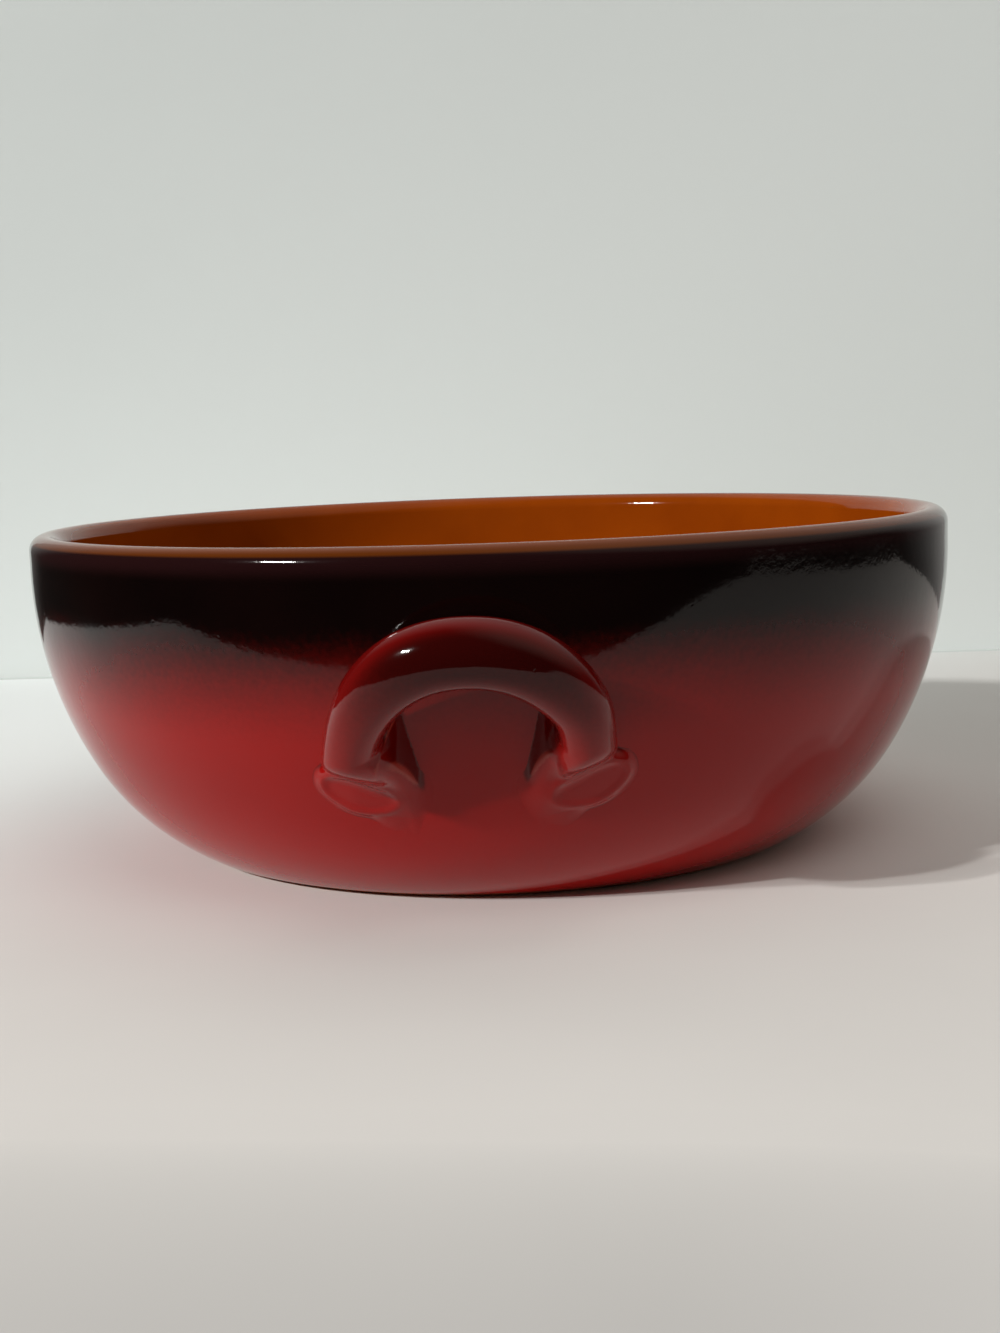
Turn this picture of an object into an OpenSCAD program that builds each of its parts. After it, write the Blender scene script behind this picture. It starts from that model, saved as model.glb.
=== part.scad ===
// Round terracotta oven dish with two thumbed loop handles.
// Millimetres, +Z up, origin at the middle of the foot, front handle toward -Y.

/* [Bowl] */
// outside diameter at the rim, over the glaze
rim_d = 280; // [240:1:320]
// height from the table to the crown of the lip, over the glaze
dish_h = 98; // [84:1:116]
// diameter of the clay foot that stands on the table
foot_d = 184; // [160:1:202]
// radius of the upper curve of the clay wall, seen from the side
belly_r = 116.5; // [104:0.5:140]
// height at which the upper curve of the wall turns into the lower one
turn_h = 30; // [22:1:36]
// height of the upright stretch of wall under the lip
upright_h = 6.3; // [4:0.1:9]
// thickness of the clay wall
wall_t = 8; // [6:0.5:10]
// thickness of the clay floor
floor_t = 8.5; // [6.5:0.5:12]
// radius of the inside curve between wall and floor
inside_r = 50; // [40:1:56]
// width of the ring that the dish stands on
foot_ring_w = 15; // [10:1:25]
// depth of the turned recess inside the standing ring
recess_h = 1.2; // [0.8:0.2:3]

/* [Glaze] */
// thickness of every glaze coat
glaze_t = 0.5; // [0.3:0.1:0.8]
// how far the lining comes over the lip, measured down from the crown
lip_cover = 3; // [2:0.5:4.5]
// height of the dark coat below the lining
dark_band_h = 40; // [30:1:46]
// height of bare clay left above the table
bare_foot_h = 1.6; // [1:0.2:6]

/* [Handles] */
// distance between the middles of the two legs of a loop
loop_w = 63; // [52:1:68]
// height of a loop from the middle of its thumbed ends to the middle of the roll at the top
loop_h = 40; // [34:1:43]
// distance from the crown of the lip down to the middle of the roll
loop_drop = 23; // [19:1:28]
// clear gap for the fingers between the wall and the roll
finger_gap = 15; // [12:0.5:20]
// squareness of the loop, 2 is a plain ellipse
loop_square = 2.2; // [2:0.1:3.4]
// how late the loop leaves the wall on its way up, 1 is an even lean
loop_lean = 1; // [0.9:0.1:1.4]
// share of the loop's height over which a thumbed end narrows to a leg
pad_share = 0.35; // [0.25:0.05:0.45]
// thickness of the roll at the top of the loop, along the loop
roll_w = 16.8; // [14:0.2:20]
// thickness of the roll at the top of the loop, away from the wall
roll_t = 15.2; // [12:0.2:18]
// thickness of the legs
leg_d = 13.6; // [11:0.2:15]
// width of the thumbed ends
pad_w = 19.5; // [17:0.5:23]
// how far the thumbed ends stand out from the wall
pad_t = 7.5; // [6:0.5:9]
// length of the rounded tip below the middle of a thumbed end
pad_tip = 8; // [6:0.5:10]
// how far inside the middle of a leg the thumb pressed
thumb_in = 2; // [0:0.5:4]
// radius of the thumb that pressed the ends on
thumb_r = 15; // [12:0.5:18]
// depth of the thumb print
thumb_depth = 2.2; // [1.2:0.2:3]

/* [Slip] */
// diameter of the slip smeared under and round each thumbed end
slip_d = 29; // [27:0.5:33]
// thickness of the slip between the wall and the thumbed end
slip_t = 1; // [0.8:0.1:1.6]

/* [Hidden] */
$fn = 96;

// the clay under the glaze: rim, lip and the height at which the wall starts to curve in
rim_r = rim_d / 2 - glaze_t;
lip_r = wall_t / 2;
lip_z = dish_h - glaze_t - lip_r;
belly_x = rim_r - belly_r;
belly_z = lip_z - upright_h;

// lower curve: touches the upper one at the turn and ends at the edge of the foot
turn_a = asin((belly_z - turn_h) / belly_r);
turn_x = belly_x + belly_r * cos(turn_a);
heel_run = turn_x - foot_d / 2;
heel_r = (heel_run * heel_run + turn_h * turn_h) / (2 * (heel_run * cos(turn_a) - turn_h * sin(turn_a)));
heel_x = turn_x - heel_r * cos(turn_a);
heel_z = turn_h + heel_r * sin(turn_a);

// inside curve between wall and floor, touching both
corner_z = floor_t + inside_r;
corner_reach = belly_r - wall_t - inside_r;
corner_a = asin((belly_z - corner_z) / corner_reach);
corner_x = belly_x + corner_reach * cos(corner_a);

// where the coats meet
lip_edge_a = asin((dish_h - lip_cover - lip_z) / (lip_r + glaze_t));
dark_foot_z = dish_h - lip_cover - dark_band_h;

root_z = dish_h - loop_drop - loop_h;
roll_out = finger_gap + roll_t / 2;
// how deep a thumbed end reaches behind the clay before it is cut to fit
pad_back = 2.5;
pad_out = (pad_t - pad_back) / 2;
slip_cut = slip_d / 3;

// fineness of the curves
foot_steps = 3;
red_steps = 20;
dark_steps = 14;
lip_edge_steps = 4;
lip_steps = 16;
inside_steps = 12;
loop_rings = 30;
tip_rings = 4;
tip_a = 88;
ring_sides = 18;

function mix(a, b, t) = a + (b - a) * t;
function ease(t) = let (u = min(max(t, 0), 1)) u * u * (3 - 2 * u);
function unit(v) = v / norm(v);
function rest(v) = [for (i = [1 : len(v) - 1]) v[i]];
function backward(v) = [for (i = [len(v) - 1 : -1 : 0]) v[i]];
function steps(low, high, n) = [low, for (i = [1 : n - 1]) mix(low, high, i / n), high];
function arc(x, z, r, from, to, n) = [for (a = steps(from, to, n)) [x + r * cos(a), z + r * sin(a)]];

// outside radius at height z, with a coat of thickness t on the clay
function outer_r(z, t) =
    z > belly_z ? rim_r + t :
    z > turn_h - t * sin(turn_a) ? belly_x + sqrt(pow(belly_r + t, 2) - pow(belly_z - z, 2)) :
    heel_x + sqrt(pow(heel_r + t, 2) - pow(heel_z - z, 2));

// angle that the wall faces down at height z
function wall_tilt(z) =
    z > turn_h ? asin(max(belly_z - z, 0) / belly_r) : asin((heel_z - z) / heel_r);

// lines of the section, all with a coat of thickness t on the clay
foot_heights = steps(0, bare_foot_h, foot_steps);
red_heights = steps(bare_foot_h, dark_foot_z, red_steps);
dark_heights = steps(dark_foot_z, lip_z, dark_steps);
wall_heights = [each foot_heights, each rest(red_heights), each rest(dark_heights)];
function outer_line(heights, t) = [for (z = heights) [outer_r(z, t), z]];
function lip_line(from, to, t, n) = arc(rim_r - lip_r, lip_z, lip_r + t, from, to, n);
function inner_line(t) = [
    each arc(belly_x, belly_z, belly_r - wall_t - t, 0, -corner_a, inside_steps),
    each rest(arc(corner_x, corner_z, inside_r - t, -corner_a, -90, inside_steps)),
    [0, floor_t + t]
];
function lining_line(t) = [each lip_line(lip_edge_a, 180, t, lip_steps), each inner_line(t)];

// middle of the roll, angle 0 at the right end and 180 at the left end
function loop_rise(a) = pow(max(sin(a), 0), 2 / loop_square);
function loop_point(a) =
    let (
        x = loop_w / 2 * sign(cos(a)) * pow(abs(cos(a)), 2 / loop_square),
        rise = loop_rise(a),
        z = root_z + loop_h * rise,
        r = outer_r(z, 0) + mix(pad_out, roll_out, pow(rise, loop_lean))
    )
    [x, -sqrt(r * r - x * x), z];
function loop_way(a) = unit(loop_point(min(a + 1, 180)) - loop_point(max(a - 1, 0)));

// half thickness of the roll: along the loop and away from the wall
function roll_half(rise) =
    let (up = ease((rise - pad_share) / (1 - pad_share)), out = ease(rise / pad_share))
    rise > pad_share
        ? [mix(leg_d, roll_w, up) / 2, mix(leg_d, roll_t, up) / 2]
        : [mix(pad_w, leg_d, out) / 2, mix(pad_t + pad_back, leg_d, out) / 2];

// one ring of points round the roll; tip runs from 0 to 90 degrees over a rounded end
function roll_ring(a, tip) =
    let (
        way = loop_way(a),
        end = a < 90 ? -1 : 1,
        mid = loop_point(a) + way * end * pad_tip * sin(tip),
        flat = unit([mid[0], mid[1], 0]),
        out = unit(flat - way * (flat * way)),
        side = cross(way, out),
        half = roll_half(loop_rise(a)) * cos(tip)
    )
    [for (i = [0 : ring_sides - 1])
        let (b = 360 * i / ring_sides)
        mid + side * half[0] * cos(b) + out * half[1] * sin(b)];

module roll() {
    rings = [
        for (i = [tip_rings : -1 : 1]) roll_ring(0, tip_a * i / tip_rings),
        for (i = [0 : loop_rings]) roll_ring(180 * i / loop_rings, 0),
        for (i = [1 : tip_rings]) roll_ring(180, tip_a * i / tip_rings)
    ];
    last = (len(rings) - 1) * ring_sides;
    polyhedron(
        points = [for (ring = rings) for (p = ring) p],
        faces = [
            [for (i = [0 : ring_sides - 1]) i],
            for (k = [0 : len(rings) - 2]) for (i = [0 : ring_sides - 1])
                let (
                    j = (i + 1) % ring_sides,
                    a = k * ring_sides + i,
                    b = k * ring_sides + j,
                    c = a + ring_sides,
                    d = b + ring_sides
                )
                each [[a, c, b], [b, c, d]],
            [for (i = [ring_sides - 1 : -1 : 0]) last + i]
        ]
    );
}

// a coat in section, between the clay and its own surface
module coat(line, clay_line) {
    rotate_extrude()
        polygon([each line, each backward(clay_line)]);
}

module bowl_body() {
    recess_r = foot_d / 2 - foot_ring_w;
    color([0.74, 0.4, 0.26])
        rotate_extrude()
            polygon([
                [0, recess_h],
                [recess_r, recess_h],
                [recess_r, 0],
                each outer_line(wall_heights, 0),
                each rest(lip_line(0, lip_edge_a, 0, lip_edge_steps)),
                each rest(lining_line(0))
            ]);
}

module lining_glaze() {
    color([0.52, 0.22, 0.04])
        coat(lining_line(glaze_t), lining_line(0));
}

module red_glaze() {
    color([0.46, 0.08, 0.07])
        difference() {
            coat(outer_line(red_heights, glaze_t), outer_line(red_heights, 0));
            slip_places()
                slip_bore();
        }
}

// the dark coat's line, up the wall and over the outer edge of the lip
function dark_line(t) = [
    each outer_line(dark_heights, t),
    each rest(lip_line(0, lip_edge_a, t, lip_edge_steps))
];

module dark_glaze() {
    color([0.12, 0.05, 0.04])
        difference() {
            coat(dark_line(glaze_t), dark_line(0));
            slip_places()
                slip_bore();
        }
}

// puts a child, drawn on the XY plane, flat on the clay wall at a thumbed end
module slip_place(side) {
    root_r = outer_r(root_z, 0);
    turn = asin(side * (loop_w / 2 - thumb_in) / root_r);
    rotate([0, 0, turn])
        translate([0, -root_r, root_z])
            rotate([90 + wall_tilt(root_z), 0, 0])
                children();
}

module slip_places() {
    for (back = [0, 180], side = [-1, 1])
        rotate([0, 0, back])
            slip_place(side)
                children();
}

module slip_bore() {
    cylinder(h = 2 * slip_cut, r = slip_d / 2, center = true);
}

// the outside of the wall with a coat of thickness t, filled solid
module filled_bowl(t) {
    rotate_extrude()
        polygon([[0, 0], each outer_line(wall_heights, t), [0, lip_z]]);
}

module handle() {
    difference() {
        roll();
        filled_bowl(slip_t);
        for (side = [-1, 1])
            slip_place(side)
                translate([0, 0, pad_t - thumb_depth + thumb_r])
                    sphere(thumb_r);
    }
}

module front_handle() {
    color([0.42, 0.07, 0.05])
        handle();
}

module back_handle() {
    color([0.42, 0.07, 0.05])
        rotate([0, 0, 180])
            handle();
}

// layer of slip that fixes one thumbed end to the clay
module slip(side) {
    intersection() {
        coat(outer_line(wall_heights, slip_t), outer_line(wall_heights, 0));
        slip_place(side)
            slip_bore();
    }
}

module front_left_slip() {
    color([0.44, 0.08, 0.06])
        slip(-1);
}

module front_right_slip() {
    color([0.44, 0.08, 0.06])
        slip(1);
}

module back_left_slip() {
    color([0.44, 0.08, 0.06])
        rotate([0, 0, 180])
            slip(1);
}

module back_right_slip() {
    color([0.44, 0.08, 0.06])
        rotate([0, 0, 180])
            slip(-1);
}

bowl_body();
lining_glaze();
red_glaze();
dark_glaze();
front_handle();
back_handle();
front_left_slip();
front_right_slip();
back_left_slip();
back_right_slip();
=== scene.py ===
import math

import bmesh
import bpy
import numpy as np
from mathutils import Matrix, Vector


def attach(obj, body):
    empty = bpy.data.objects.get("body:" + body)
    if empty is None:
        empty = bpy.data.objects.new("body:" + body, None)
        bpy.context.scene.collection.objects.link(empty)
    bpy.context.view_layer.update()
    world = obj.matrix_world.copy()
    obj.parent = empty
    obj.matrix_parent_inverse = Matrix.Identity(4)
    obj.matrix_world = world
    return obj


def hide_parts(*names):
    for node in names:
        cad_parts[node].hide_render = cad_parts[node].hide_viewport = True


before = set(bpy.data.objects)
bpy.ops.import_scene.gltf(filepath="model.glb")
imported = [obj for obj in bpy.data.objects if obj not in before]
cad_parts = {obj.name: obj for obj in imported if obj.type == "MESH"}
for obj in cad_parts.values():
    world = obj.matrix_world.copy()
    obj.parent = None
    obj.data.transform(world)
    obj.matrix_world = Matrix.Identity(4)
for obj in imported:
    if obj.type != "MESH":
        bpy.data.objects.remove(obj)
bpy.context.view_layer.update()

MM = 0.001

# Sizes of the bowl in mm, the same as in the part's source: the clay first, then the coats on it.
DISH_H = 98.0
GLAZE_T = 0.5
RIM_R = 139.5
WALL_T = 8.0
LIP_R = WALL_T / 2
LIP_Z = DISH_H - GLAZE_T - LIP_R
UPRIGHT_H = 6.3
BELLY_R = 116.5
BELLY_X = RIM_R - BELLY_R
BELLY_Z = LIP_Z - UPRIGHT_H
FOOT_R = 92.0
TURN_H = 30.0
TURN_A = math.asin((BELLY_Z - TURN_H) / BELLY_R)
TURN_X = BELLY_X + BELLY_R * math.cos(TURN_A)
HEEL_RUN = TURN_X - FOOT_R
HEEL_R = (HEEL_RUN ** 2 + TURN_H ** 2) / (
    2 * (HEEL_RUN * math.cos(TURN_A) - TURN_H * math.sin(TURN_A)))
HEEL_X = TURN_X - HEEL_R * math.cos(TURN_A)
HEEL_Z = TURN_H + HEEL_R * math.sin(TURN_A)
FLOOR_T = 8.5
INSIDE_R = 50.0
CORNER_Z = FLOOR_T + INSIDE_R
CORNER_REACH = BELLY_R - WALL_T - INSIDE_R
CORNER_A = math.asin((BELLY_Z - CORNER_Z) / CORNER_REACH)
CORNER_X = BELLY_X + CORNER_REACH * math.cos(CORNER_A)
BARE_FOOT_H = 1.6
DARK_FOOT_Z = 55.0
LIP_EDGE_Z = 95.0
LIP_EDGE_A = math.asin((LIP_EDGE_Z - LIP_Z) / (LIP_R + GLAZE_T))

# How the coats are turned: the gap left under them in mm, points across the floor, steps round
# the wheel, the section's offset from the axis and what counts as one point, both in mm, and the
# angle from which an edge is sharp.
UNDER = 0.02
FLOOR_POINTS = 14
STEPS_ROUND = 384
SECTION_OFFSET = 100.0
ONE_POINT = 0.002
CREASE_ANGLE = math.radians(40)


# ---- Materials ----

# Sockets of a Mix node that mixes colours: the share of the second, both colours, the result.
SHARE, FIRST, SECOND, MIXED = 0, 6, 7, 2

# The fired surface: width and depth in mm of its orange peel, slow waves and pinholes, the edge of
# a pinhole as a share of their spacing, and how far the waves' pattern swings. The IOR of a glaze
# is near 1.5; this one matches how strongly the dish mirrors the table.
PEEL_WIDE, PEEL_DEEP = 2.0, 0.022
WAVES_WIDE, WAVES_DEEP = 26, 0.16
PITS_APART, PITS_DEEP = 7, 0.02
PIT_EDGE = (0.03, 0.07)
WAVES_SWING = (0.35, 0.65)
GLAZE_IOR = 1.335
GLAZE_UNEVEN = 0.03
OUTSIDE_ROUGHNESS = 0.06
LINING_ROUGHNESS = 0.07

# The sprayed edge between red and black: width and reach in mm of its drifts and of its grain.
DRIFT_WIDE, DRIFT_REACH = 45, 12
GRAIN_WIDE, GRAIN_REACH = 1.4, 5
SPRAY_MIDDLE = (DRIFT_REACH + GRAIN_REACH) / 2

# Heights in mm between which one colour of the outside gives way to the next.
FOOT_FADE = (4, 34)
DARK_FADE = (46, 79)
PLUM_FADE = (89.5, 94)
ROLL_FADE = (36, 74)

# The lining in mm: its pools, heights where it gathers on the floor and how much, distances from
# the axis where it browns over the lip, heights and distances where it laps the dark band, and
# its specks with the share of them that shows.
POOLS_WIDE = 35
FLOOR_POOL, FLOOR_POOL_MOST = (40, 9), 0.35
LIP_FADE = (134, 139.6)
LAP_FADE = (96.3, 95.5)
LAP_REACH = (136, 138)
SPECKS_APART, SPECKS_SHARE = 13, 0.12

# The bare clay in mm: clouds of colour, sand, and grit with the share of it that shows.
CLAY_CLOUDS = 18
SAND_WIDE, SAND_DEEP = 0.9, 0.12
GRIT_APART, GRIT_SHARE = 2.5, 0.4

# The edge of a speck or a grain of grit, as a share of their spacing.
SPECK_EDGE = (0.16, 0.06)

# The stage's paper: clouds in mm, and the light that its roll at the front is evened out for.
PAPER_CLOUDS = 120
PAPER_LIGHT = (0, -1.01, 1)

PLUM = "#1F0C0D"


def to_linear(hex_colour):
    """A written sRGB colour as the linear values that a shader takes."""
    channels = [int(hex_colour[i:i + 2], 16) / 255 for i in (1, 3, 5)]
    return [c / 12.92 if c <= 0.04045 else ((c + 0.055) / 1.055) ** 2.4 for c in channels] + [1.0]


def per_metre(size_mm):
    """Scale of a pattern whose features are this many mm across."""
    return 1 / (size_mm * MM)


def span(ends_mm):
    """The two ends of a fade, as a Map Range node takes them."""
    return {"From Min": ends_mm[0] * MM, "From Max": ends_mm[1] * MM}


def add(tree, kind, inputs=None, **settings):
    """Adds one node with its settings, and sets or links its inputs."""
    made = tree.nodes.new(kind)
    for name, value in settings.items():
        setattr(made, name, value)
    for key, value in (inputs or {}).items():
        if isinstance(value, bpy.types.NodeSocket):
            tree.links.new(value, made.inputs[key])
        else:
            made.inputs[key].default_value = value
    return made


def new_material(name):
    """An empty material, its nodes, and the place on the piece that its patterns read."""
    made = bpy.data.materials.new(name)
    made.use_nodes = True
    tree = made.node_tree
    tree.nodes.clear()
    return made, tree, add(tree, "ShaderNodeTexCoord").outputs["Object"]


def glaze_skin(tree, colour, place, roughness):
    """A glossy fired surface: fine orange peel, slow waves and pinholes under a clear gloss."""
    peel = add(tree, "ShaderNodeTexNoise", {
        "Vector": place, "Scale": per_metre(PEEL_WIDE), "Detail": 3.0})
    waves = add(tree, "ShaderNodeTexNoise", {
        "Vector": place, "Scale": per_metre(WAVES_WIDE), "Detail": 1.0})
    pits = add(tree, "ShaderNodeTexVoronoi", {"Vector": place, "Scale": per_metre(PITS_APART)})
    pit = add(tree, "ShaderNodeMapRange", {
        "Value": pits.outputs["Distance"], "From Min": PIT_EDGE[0], "From Max": PIT_EDGE[1]})
    slow = add(tree, "ShaderNodeBump", {
        "Height": waves.outputs["Fac"], "Distance": WAVES_DEEP * MM})
    fine = add(tree, "ShaderNodeBump", {
        "Height": peel.outputs["Fac"], "Distance": PEEL_DEEP * MM,
        "Normal": slow.outputs["Normal"]})
    holes = add(tree, "ShaderNodeBump", {
        "Height": pit.outputs["Result"], "Distance": PITS_DEEP * MM,
        "Normal": fine.outputs["Normal"]})
    dull = add(tree, "ShaderNodeMapRange", {
        "Value": waves.outputs["Fac"], "From Min": WAVES_SWING[0], "From Max": WAVES_SWING[1],
        "To Min": roughness, "To Max": roughness + GLAZE_UNEVEN})
    shader = add(tree, "ShaderNodeBsdfPrincipled", {
        "Base Color": colour, "Roughness": dull.outputs["Result"], "IOR": GLAZE_IOR,
        "Normal": holes.outputs["Normal"]})
    add(tree, "ShaderNodeOutputMaterial", {"Surface": shader.outputs["BSDF"]})


def specks(tree, colour, place, apart, share, speck):
    """Dark iron specks in some of the cells of a surface."""
    cells = add(tree, "ShaderNodeTexVoronoi", {"Vector": place, "Scale": per_metre(apart)})
    pick = add(tree, "ShaderNodeSeparateColor", {"Color": cells.outputs["Color"]})
    chosen = add(tree, "ShaderNodeMath", {
        0: pick.outputs["Red"], 1: share}, operation="LESS_THAN")
    spot = add(tree, "ShaderNodeMapRange", {
        "Value": cells.outputs["Distance"], "From Min": SPECK_EDGE[0], "From Max": SPECK_EDGE[1]})
    much = add(tree, "ShaderNodeMath", {
        0: spot.outputs["Result"], 1: chosen.outputs[0]}, operation="MULTIPLY")
    mixed = add(tree, "ShaderNodeMix", {
        SHARE: much.outputs[0], FIRST: colour, SECOND: to_linear(speck)}, data_type="RGBA")
    return mixed.outputs[MIXED]


def spray_height(tree, place, height):
    """Height on the dish, loosened as the edge of a sprayed coat is: slow drifts, fine grain."""
    drift = add(tree, "ShaderNodeTexNoise", {
        "Vector": place, "Scale": per_metre(DRIFT_WIDE), "Detail": 3.0})
    grain = add(tree, "ShaderNodeTexNoise", {
        "Vector": place, "Scale": per_metre(GRAIN_WIDE), "Detail": 1.0})
    loose = add(tree, "ShaderNodeMath", {
        0: drift.outputs["Fac"], 1: DRIFT_REACH * MM, 2: height}, operation="MULTIPLY_ADD")
    fine = add(tree, "ShaderNodeMath", {
        0: grain.outputs["Fac"], 1: GRAIN_REACH * MM, 2: loose.outputs[0]},
        operation="MULTIPLY_ADD")
    even = add(tree, "ShaderNodeMath", {
        0: fine.outputs[0], 1: SPRAY_MIDDLE * MM}, operation="SUBTRACT")
    return even.outputs[0], drift.outputs["Fac"]


def wall_colour(tree, sprayed, drift):
    """Colour of the outside by height: light red at the foot, blood red, then brown black."""
    foot = add(tree, "ShaderNodeMapRange", {
        "Value": sprayed, **span(FOOT_FADE)}, interpolation_type="SMOOTHSTEP")
    red = add(tree, "ShaderNodeMix", {
        SHARE: drift, FIRST: to_linear("#860D0C"), SECOND: to_linear("#94110E")},
        data_type="RGBA")
    low = add(tree, "ShaderNodeMix", {
        SHARE: foot.outputs["Result"], FIRST: to_linear("#A31513"), SECOND: red.outputs[MIXED]},
        data_type="RGBA")
    fade = add(tree, "ShaderNodeMapRange", {
        "Value": sprayed, **span(DARK_FADE)}, interpolation_type="SMOOTHSTEP")
    dark = add(tree, "ShaderNodeMix", {
        SHARE: drift, FIRST: to_linear("#020101"), SECOND: to_linear("#110504")},
        data_type="RGBA")
    wall = add(tree, "ShaderNodeMix", {
        SHARE: fade.outputs["Result"], FIRST: low.outputs[MIXED], SECOND: dark.outputs[MIXED]},
        data_type="RGBA")
    return wall.outputs[MIXED]


def wall_glaze():
    """Red glaze sprayed darker towards the rim: blood red, brown black, plum at the lip."""
    made, tree, place = new_material("sprayed_red_to_black_glaze")
    height = add(tree, "ShaderNodeSeparateXYZ", {"Vector": place}).outputs["Z"]
    sprayed, drift = spray_height(tree, place, height)
    wall = wall_colour(tree, sprayed, drift)
    near_lip = add(tree, "ShaderNodeMapRange", {
        "Value": height, **span(PLUM_FADE)}, interpolation_type="SMOOTHSTEP")
    plum = add(tree, "ShaderNodeMix", {
        SHARE: near_lip.outputs["Result"], FIRST: wall, SECOND: to_linear(PLUM)},
        data_type="RGBA")
    glaze_skin(tree, plum.outputs[MIXED], place, OUTSIDE_ROUGHNESS)
    return made


def lining_glaze():
    """Clear amber glaze over red clay: honey brown with a few iron specks, deeper where it
    gathers on the floor, browner on the lip, and plum where it laps the dark band."""
    made, tree, place = new_material("amber_lead_glaze_over_terracotta")
    height = add(tree, "ShaderNodeSeparateXYZ", {"Vector": place}).outputs["Z"]
    flat = add(tree, "ShaderNodeVectorMath", {0: place, 1: (1, 1, 0)}, operation="MULTIPLY")
    reach = add(tree, "ShaderNodeVectorMath", {
        0: flat.outputs[0]}, operation="LENGTH").outputs["Value"]
    glaze_pool_and_painted_shade = add(tree, "ShaderNodeTexNoise", {
        "Vector": place, "Scale": per_metre(POOLS_WIDE), "Detail": 4.0})
    honey = add(tree, "ShaderNodeMix", {
        SHARE: glaze_pool_and_painted_shade.outputs["Fac"], FIRST: to_linear("#782F03"), SECOND: to_linear("#9A4505")},
        data_type="RGBA")
    deep = add(tree, "ShaderNodeMapRange", {
        "Value": height, **span(FLOOR_POOL), "To Max": FLOOR_POOL_MOST})
    pooled = add(tree, "ShaderNodeMix", {
        SHARE: deep.outputs["Result"], FIRST: honey.outputs[MIXED],
        SECOND: to_linear("#6A2803")}, data_type="RGBA")
    over = add(tree, "ShaderNodeMapRange", {
        "Value": reach, **span(LIP_FADE)}, interpolation_type="SMOOTHSTEP")
    speckled = specks(tree, pooled.outputs[MIXED], place, SPECKS_APART, SPECKS_SHARE, "#7A3206")
    lip = add(tree, "ShaderNodeMix", {
        SHARE: over.outputs["Result"], FIRST: speckled, SECOND: to_linear("#56290A")},
        data_type="RGBA")
    below = add(tree, "ShaderNodeMapRange", {
        "Value": height, **span(LAP_FADE)}, interpolation_type="SMOOTHSTEP")
    outside = add(tree, "ShaderNodeMapRange", {"Value": reach, **span(LAP_REACH)})
    lap = add(tree, "ShaderNodeMath", {
        0: below.outputs["Result"], 1: outside.outputs["Result"]}, operation="MULTIPLY")
    plum = add(tree, "ShaderNodeMix", {
        SHARE: lap.outputs[0], FIRST: lip.outputs[MIXED], SECOND: to_linear(PLUM)},
        data_type="RGBA")
    glaze_skin(tree, plum.outputs[MIXED], place, LINING_ROUGHNESS)
    return made


def handle_glaze():
    """The red glaze on the handles: ox blood on the roll, with painted shade where it faces the
    front and lighter where it faces up or aside, as the wall where the clay is smeared out on it,
    with painted shade where the legs hide the wall behind them and on their inner flanks, and thin
    and pale along the ridges."""
    made, tree, place = new_material("red_glaze_on_pulled_clay")
    height = add(tree, "ShaderNodeSeparateXYZ", {"Vector": place}).outputs["Z"]
    ridge, crease, lift, glaze_pool_and_painted_shade, painted_front_shade = [
        add(tree, "ShaderNodeAttribute", attribute_name=name).outputs["Fac"]
        for name in ("ridge", "crease", "lift", "glaze_pool_and_painted_shade", "painted_front_shade")]
    sprayed, drift = spray_height(tree, place, height)
    wall = wall_colour(tree, sprayed, drift)
    fade = add(tree, "ShaderNodeMapRange", {
        "Value": sprayed, **span(ROLL_FADE)}, interpolation_type="SMOOTHSTEP")
    red = add(tree, "ShaderNodeMix", {
        SHARE: drift, FIRST: to_linear("#840D0C"), SECOND: to_linear("#94120E")},
        data_type="RGBA")
    # Painted light and shade on the roll: lighter red where it faces up or aside, darker where it
    # faces the front.
    dark = add(tree, "ShaderNodeMix", {
        SHARE: painted_front_shade, FIRST: to_linear("#5E0807"), SECOND: to_linear("#2E0403")},
        data_type="RGBA")
    coat = add(tree, "ShaderNodeMix", {
        SHARE: fade.outputs["Result"], FIRST: red.outputs[MIXED], SECOND: dark.outputs[MIXED]},
        data_type="RGBA").outputs[MIXED]
    coat = add(tree, "ShaderNodeMix", {
        SHARE: lift, FIRST: wall, SECOND: coat}, data_type="RGBA").outputs[MIXED]
    # The second colour here is painted shade: darker red where the legs hide the wall and on their
    # inner flanks near it.
    for much, colour in ((crease, "#5A0908"), (glaze_pool_and_painted_shade, "#5A0504"), (ridge, "#9C362D")):
        coat = add(tree, "ShaderNodeMix", {
            SHARE: much, FIRST: coat, SECOND: to_linear(colour)},
            data_type="RGBA").outputs[MIXED]
    glaze_skin(tree, coat, place, OUTSIDE_ROUGHNESS)
    return made


def bare_clay():
    """Unglazed terracotta on the foot: dry, sandy and cloudy, with dark grit."""
    made, tree, place = new_material("bare_terracotta")
    cloud = add(tree, "ShaderNodeTexNoise", {
        "Vector": place, "Scale": per_metre(CLAY_CLOUDS), "Detail": 5.0})
    sand = add(tree, "ShaderNodeTexNoise", {
        "Vector": place, "Scale": per_metre(SAND_WIDE), "Detail": 2.0})
    clay = add(tree, "ShaderNodeMix", {
        SHARE: cloud.outputs["Fac"], FIRST: to_linear("#A4593B"), SECOND: to_linear("#BC7350")},
        data_type="RGBA")
    sandy = specks(tree, clay.outputs[MIXED], place, GRIT_APART, GRIT_SHARE, "#7A4029")
    rough = add(tree, "ShaderNodeBump", {
        "Height": sand.outputs["Fac"], "Distance": SAND_DEEP * MM})
    shader = add(tree, "ShaderNodeBsdfPrincipled", {
        "Base Color": sandy, "Roughness": 0.85, "IOR": 1.45, "Normal": rough.outputs["Normal"]})
    add(tree, "ShaderNodeOutputMaterial", {"Surface": shader.outputs["BSDF"]})
    return made


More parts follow.
